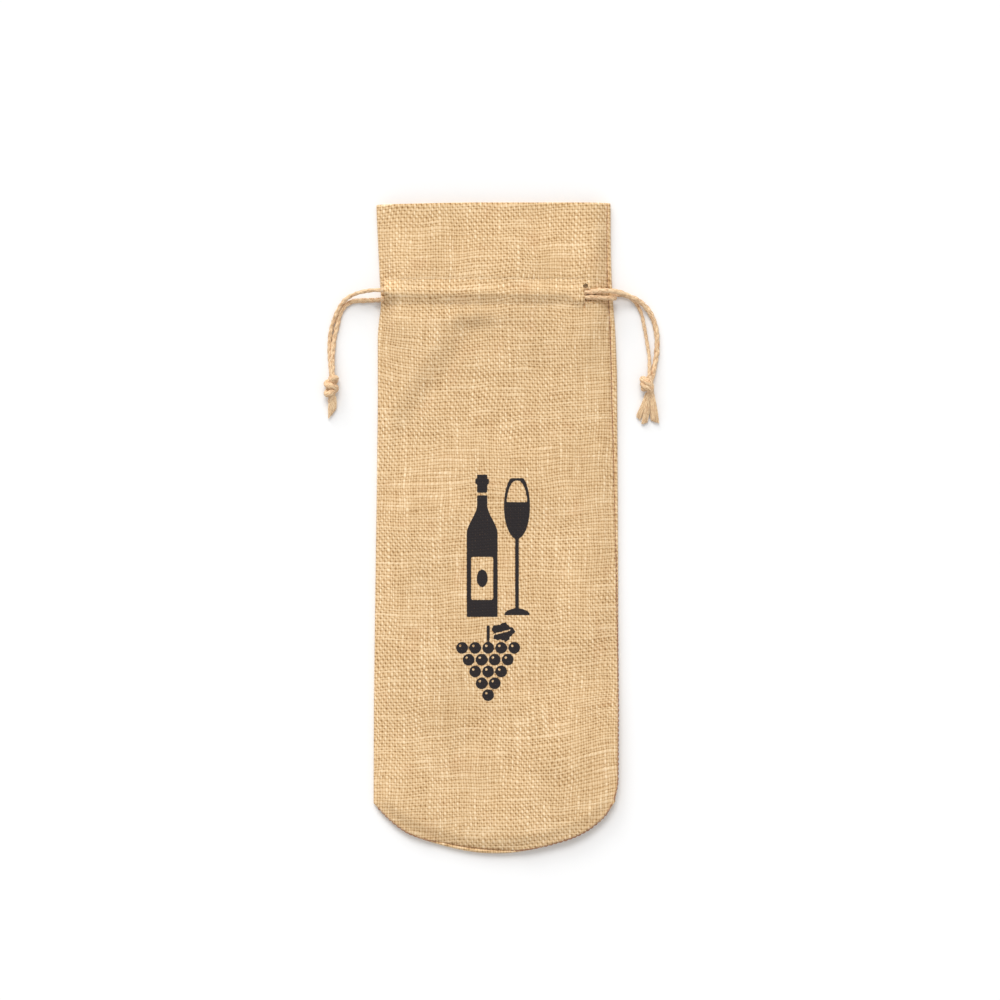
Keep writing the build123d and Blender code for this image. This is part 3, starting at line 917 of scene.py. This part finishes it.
# Each cord's routes, in millimetres. They follow the CAD model's, but less evenly.
LOW, HIGH = 1.95, 11.0  # heights of the runs on the back cloth and under the casing
LAID = 1.3  # height of a strand that lies on the floor
ROUTES = {
    "left_cord_front_strand": (
        (-64.0, 138.9, HIGH), (-71.0, 139.3, 10.4), (-79.4, 138.0, 7.0), (-87.6, 134.6, 3.4),
        (-92.8, 126.6, 2.6), (-96.8, 114.6, LAID), (-97.0, 100.0, LAID), (-95.6, 88.6, 2.0),
    ),
    "left_cord_back_strand": (
        (-67.6, 133.7, LOW), (-74.6, 133.4, 1.5), (-82.8, 133.4, LAID), (-89.6, 129.6, LAID),
        (-92.2, 119.6, LAID), (-94.5, 109.6, LAID), (-95.2, 98.2, 3.2), (-95.0, 88.6, 4.7),
    ),
    "right_cord_front_strand": (
        (51.5, 137.6, HIGH), (60.3, 138.5, HIGH), (69.8, 138.7, 10.4), (79.0, 135.6, 6.4),
        (87.8, 131.0, 2.4), (93.5, 121.4, LAID), (95.0, 110.4, LAID), (94.6, 99.8, LAID),
        (92.0, 89.2, 2.9),
    ),
    "right_cord_back_strand": (
        (67.6, 136.4, LOW), (73.8, 137.2, 1.5), (81.2, 134.0, LAID), (85.8, 126.4, LAID),
        (87.6, 116.6, LAID), (89.3, 107.0, LAID), (90.6, 97.8, 2.5), (90.0, 89.2, 4.9),
    ),
    "left_cord_inner_run": (
        (-64.0, 138.9, HIGH), (-50.0, 139.8, HIGH), (0.0, 140.3, HIGH), (40.0, 140.3, HIGH),
        (47.0, 140.0, 10.4), (53.0, 139.2, 7.8), (59.0, 137.1, 5.8), (57.2, 133.9, 3.5),
        (48.5, 133.7, LOW), (38.0, 133.7, LOW), (0.0, 133.7, LOW), (-67.6, 133.7, LOW),
    ),
    "right_cord_inner_run": (
        (51.5, 137.6, HIGH), (38.0, 137.6, HIGH), (0.0, 137.5, HIGH), (-53.0, 137.0, HIGH),
        (-61.0, 136.4, 9.6), (-61.0, 136.4, 6.5), (-61.0, 136.4, LOW), (-50.0, 136.4, LOW),
        (0.0, 136.4, LOW), (67.6, 136.4, LOW),
    ),
    "left_cord_turn": (
        (-63.4, 133.9, 5.6), (-66.6, 133.8, 5.6), (-69.2, 133.6, 5.5), (-70.4, 133.5, 4.45),
    ),
    "right_cord_turn": (
        (46.5, 134.9, 10.0), (52.0, 134.8, HIGH), (59.0, 134.7, 11.2), (66.2, 134.3, 10.6),
        (69.9, 134.2, 8.6), (70.1, 134.8, 4.45),
    ),
}


def make_twine():
    """The stretches of both cords, all but the turns on their cords' bodies. Returns each with its line and
    length in metres.
    """
    made = {}
    for number, (node, route) in enumerate(ROUTES.items()):
        line, places = spline_line(route)
        hairs = 0.2 if "inner" in node else 0.9
        radius = RADII.get(node, CORD / 2)
        item = twine(node + "_twine", node, line, places, radius, number + 1, hairs)
        side = node.split("_")[0]
        if node.endswith("turn"):
            gather(item)
        else:
            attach(item, side + "_drawcord")
        made[node] = (item, line * MM, places[-1] * MM)
    return made


# ---- knots and frayed ends ----
def wound(centre, reach, rise, low, high, start, turns, lean, count):
    """Points of a loop wound round Y about a centre, leaning by lean."""
    found = []
    for k in range(count):
        t = k / (count - 1)
        turn = start + 2 * math.pi * turns * t
        plump = 0.86 + 0.24 * t - 0.16 * (2 * t - 1) ** 2
        x, z = reach * plump * math.cos(turn), rise * plump * math.sin(turn)
        found.append((centre[0] + x, centre[1] + low + (high - low) * t + lean * x, centre[2] + z))
    return found


LEFT_KNOT = (-95.6, 82.3, 4.2)
RIGHT_KNOT = (89.4, 84.1, 4.5)
KNOT_RADII = {"left": 1.85, "right": 1.6}  # of the strands where they are drawn tight


def knot_routes(side):
    """For each of the two strands of a knot: in at the top, round the middle, out at the bottom."""
    routes = []
    for k, way in enumerate(("front", "back")):
        entry = ROUTES[f"{side}_cord_{way}_strand"][-1]
        if side == "left":
            x, y, z = LEFT_KNOT
            centre = (x - 0.2, y, z)
            loop = wound(centre, 3.0, 2.3, -3.8, 4.0, 0.9 + math.pi * k, 1.0, 0.95 - 0.75 * k, 13)
            start = [(x - 0.6 + 0.8 * k, y + 3.6, z - 0.4), (x + 0.4, y - 1.5, z - 0.6)]
            end = [(x - 1.0 + k, y + 2.6, z + 0.2), (x + 0.1, y - 2.5, z + 0.6 * k)]
            end.append((x + 0.6 - k, y - 8.0, z - 2.2))
        else:
            x, y, z = RIGHT_KNOT
            centre = (x - 1.0, y - 0.2, z)
            loop = wound(centre, 2.5, 2.5, -3.2, 3.2, 2.6 + math.pi * k, 1.2, -0.35, 15)
            start = [(x + 1.9 - 0.6 * k, y + 2.8, z - 0.2), (x + 0.8, y - 1.2, z - 0.8)]
            end = [(x + 1.2, y + 2.2, z + 1.2), (x + 2.2, y - 1.6, z + 1.4 - k)]
            end.append((x + 1.8 - 1.5 * k, y - 7.0, z - 2.0))
        routes.append([entry, *start, *loop, *end])
    return routes


def make_knots():
    """Both knots, as lists of their two strands."""
    made = {"left": [], "right": []}
    for side, pieces in made.items():
        for k, route in enumerate(knot_routes(side)):
            line, places = spline_line(route, 0.3)
            thick = KNOT_RADII[side]
            line[:, 2] = np.maximum(line[:, 2], thick)
            name = f"{side}_knot_strand_{k + 1}"
            item = twine(name, f"{side}_cord_knot", line, places, thick, 30 + k, 0.7)
            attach(item, f"{side}_drawcord")
            pieces.append(item)
    return made


def bunch(root, tip, near, far, count, rng, slant, droop):
    """Fibres from round one place to round another. near and far are (half width, half height).

    slant tips the cut end: how much further down the fibres on the left reach.
    """
    strands = []
    root, tip = np.array(root), np.array(tip)
    for _ in range(count):
        turn, out = rng.uniform(0, 2 * math.pi), math.sqrt(rng.uniform(0, 1))
        across, up = out * math.cos(turn), out * math.sin(turn)
        start = root + (near[0] * across, 0, near[1] * up)
        end = tip + (far[0] * across + rng.normal(0, 0.2), slant * across + rng.normal(0, 0.35), far[1] * up)
        middle = (start + end) / 2 + (rng.normal(0, 0.25), 0, droop * rng.uniform(-0.2, 1))
        places = [start, (start * 3 + middle) / 4 + (0, 0, 0.15), middle, (middle + end) / 2, end]
        strands.append([(p[0], p[1], max(p[2], 0.25)) for p in places])
    return strands


def make_tails():
    """The frayed ends of both cords."""
    made = {}
    rng = np.random.default_rng(5)
    x, y, _ = LEFT_KNOT
    root, end = (x + 0.8, y - 5.0, 2.6), (x + 0.4, y - 14.9, 1.4)
    left = bunch(root, end, (1.8, 1.4), (2.2, 0.9), 130, rng, 2.9, 0.6)
    x, y, _ = RIGHT_KNOT
    ends = (  # shift of the cut end from the knot, fibres, half width there, slant
        (-5.8, -19.6, 28, 1.1, -1.2),
        (-2.4, -22.3, 62, 1.8, 0.6),
        (3.8, -21.4, 80, 2.7, -0.8),
    )
    right = []
    for shift, drop, count, spread, slant in ends:
        root = (x + 1.3 + 0.22 * shift, y - 4.6, 2.5)
        end = (x + 0.3 + shift, y + drop, 1.3)
        right += bunch(root, end, (1.3, 1.4), (spread, 0.85), count, rng, slant, 0.9)
    for side, strands in (("left", left), ("right", right)):
        item = fibres(f"{side}_frayed_end", strands, 0.30, 8)
        finish_piece(item, TAIL_FINISH, "frayed_fibre", f"{side}_cord_tail")
        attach(item, f"{side}_drawcord")
        made[side] = item
    return made


# ---- cloth pieces ----
def make_panels(cloth):
    """Front and back, each cut at the neck and the middle."""
    attributes = [("weave", weave_place(cloth.flat)), ("print_distance", print_distance(cloth.flat))]
    for front, header, right in product((True, False), (False, True), (False, True)):
        side = "front" if front else "back"
        name = f"{side}_panel_{'header' if header else 'body'}_{'right' if right else 'left'}"
        quads = cloth.quads[cloth.share(front, header, right)]
        keep = attributes if front else attributes[:1]
        item = thick_sheet(name, cloth.points, cloth.normals, quads, keep)
        finish_piece(item, FRONT_FINISH if front else BACK_FINISH, "jute_cloth", *PANEL_NODES[side])
        gather(item)


def make_hems():
    """The layer turned in from the mouth, in halves."""
    rows = filled([(HEM_END, 0.8), (TOP - FOLD, 1)])
    for side, room in HEM_ROOM.items():
        points, flat = cloth_points(side == "front", casing=False, rows=rows)
        place = weave_place(flat.reshape(-1, 2))
        y = points[..., 1]
        points[..., 2] += room * smooth((y - 130.5) / 1.5) * (1 - smooth((y - 141) / 1.5))
        quads = grid_quads(np.arange(y.size).reshape(y.shape))[:, JOINED]
        if side == "back":
            quads = quads[..., ::-1]
        quads = quads.reshape(-1, 4)
        points = points.reshape(-1, 3)
        normals = corner_normals(points, quads)
        points = points - normals * 2 * FOLD * 0.99
        centre = points[quads].mean(axis=1)
        side_gap, _, _ = edge_distance(centre[:, 0], centre[:, 1])
        wide = (side_gap > 9.0) | (centre[:, 1] > 147)
        for right in (False, True):
            mine = wide & ((centre[:, 0] > 0) == right)
            name = f"{side}_hem_{'right' if right else 'left'}"
            item = thick_sheet(name, points, normals, quads[mine], [("weave", place)])
            finish_piece(item, HEM_FINISH, "jute_hem", f"{side}_hem")
            gather(item)


def stitches(name, cloth, row, stitch, seed, material, node):
    """A row of stitches along the cloth: each comes up out of it and goes back down."""
    rng = np.random.default_rng(seed)
    length, gap, radius = stitch
    points, normals = cloth.points[row], cloth.normals[row]
    along = lengths(points)
    tubes = Tubes()
    place = 0.3
    steps = np.linspace(0, 1, 7)
    arch = np.sin(math.pi * steps)
    while place + length < along[-1]:
        at = place + steps * length * rng.uniform(0.85, 1.15)
        line, out = at_lengths(at, along, points), at_lengths(at, along, normals)
        rise = HALF + radius * 0.7 * arch - 0.3 * (1 - arch)
        thick = np.full(len(steps), radius * rng.uniform(0.85, 1.15))
        tubes.add(line + out * rise[:, None], thick, 6, at[:, None], angles(6)[None, :], seed)
        place += (length + gap) * rng.uniform(0.92, 1.08)
    return finish_piece(tubes.mesh(name), material, "sewing_thread", node)


def make_seam_stitching(cloth):
    """Brown lock stitch down both sides and round the bottom."""
    last = len(COLUMNS) - 1 - SEAM_RING
    cut = NECK_ROW - SEAM_RING
    front, back = cloth.slots
    for side, line in (("left", back[SEAM_RING:, SEAM_RING]), ("right", front[SEAM_RING:, last])):
        for zone, row in (("body", line[:cut + 1]), ("header", line[cut:])):
            name, node = f"{side}_seam_thread_{zone}", f"{side}_seam_stitching"
            item = stitches(name, cloth, row, SEAM_STITCH, len(side), SEAM_THREAD_FINISH, node)
            gather(item)
    name, node = "bottom_seam_thread", "bottom_seam_stitching"
    row = front[SEAM_RING, SEAM_RING:last + 1]
    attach(stitches(name, cloth, row, BOTTOM_STITCH, 3, SEAM_THREAD_FINISH, node), "bag")


def make_casing_stitching(cloth):
    """Two rows of thread across the front and two across the back."""
    rows = zip(STITCH_ROWS, ("lower", "upper"))
    for (layer, side), (y, level), right in product(enumerate(("front", "back")), rows, (False, True)):
        number = int(np.argmin(abs(ROWS - y)))
        row = cloth.slots[layer, number, MIDDLE:-8] if right else cloth.slots[layer, number, 8:MIDDLE]
        row = row[np.concatenate([[True], np.diff(row) != 0])]
        name = f"{side}_casing_{level}_thread_{'right' if right else 'left'}"
        node = f"{side}_casing_{level}_stitching"
        item = stitches(name, cloth, row, CASING_STITCH, number + layer, THREAD_FINISH, node)
        gather(item)


def strip(name, node, x, y, swell):
    """An allowance's two layers, over a grid of places. swell is how far they wave up and down."""
    points, quads = [], []
    for number, z in enumerate(ALLOWANCE_LAYERS):
        z = z + swell * waves(x, y, 12, 22) + corner_lift(x, y)
        points.append(np.stack([x, y, z], -1).reshape(-1, 3))
        quads.append(grid_quads(np.arange(x.size).reshape(x.shape) + number * x.size).reshape(-1, 4))
    points, quads = np.concatenate(points), np.concatenate(quads)
    place = [("weave", weave_place(points[:, :2]))]
    item = thick_sheet(name, points, corner_normals(points, quads), quads, place, ALLOWANCE_HALF)
    return finish_piece(item, SEAM_FINISH, "jute_seam", node)


def make_allowances():
    """The panels' edges, pressed flat inside each seam."""
    steps = np.arange(0, ALLOWANCE, 0.9)
    zones = (("body", np.arange(-148, 129.5, 1.5)), ("header", np.arange(144.5, 187.5, 1.5)))
    for side, edge, way in (("left", LEFT_EDGE, 1), ("right", RIGHT_EDGE, -1)):
        for zone, rows in zones:
            y, shift = np.meshgrid(rows, steps, indexing="ij")
            ragged = 0.35 * waves(y, y * 0, 6, 21) * (shift / ALLOWANCE)
            x = side_x(edge, y) + way * (ALLOWANCE_IN + shift + ragged)
            item = strip(f"{side}_allowance_{zone}", f"{side}_seam_allowance", x, y, 0.05)
            gather(item)
    x, shift = np.meshgrid(np.arange(-58, 58.5, 1.5), steps, indexing="ij")
    x, y = x * (1 - shift / 120), seam_y(x) + ALLOWANCE_IN + shift
    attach(strip("bottom_allowance", "bottom_seam_allowance", x, y, 0.0), "bag")


set_stage()
CORDS = make_twine()
KNOTS = make_knots()
TAILS = make_tails()
CLOTH_SURFACE = Cloth()
make_panels(CLOTH_SURFACE)
make_hems()
make_seam_stitching(CLOTH_SURFACE)
make_casing_stitching(CLOTH_SURFACE)
make_allowances()
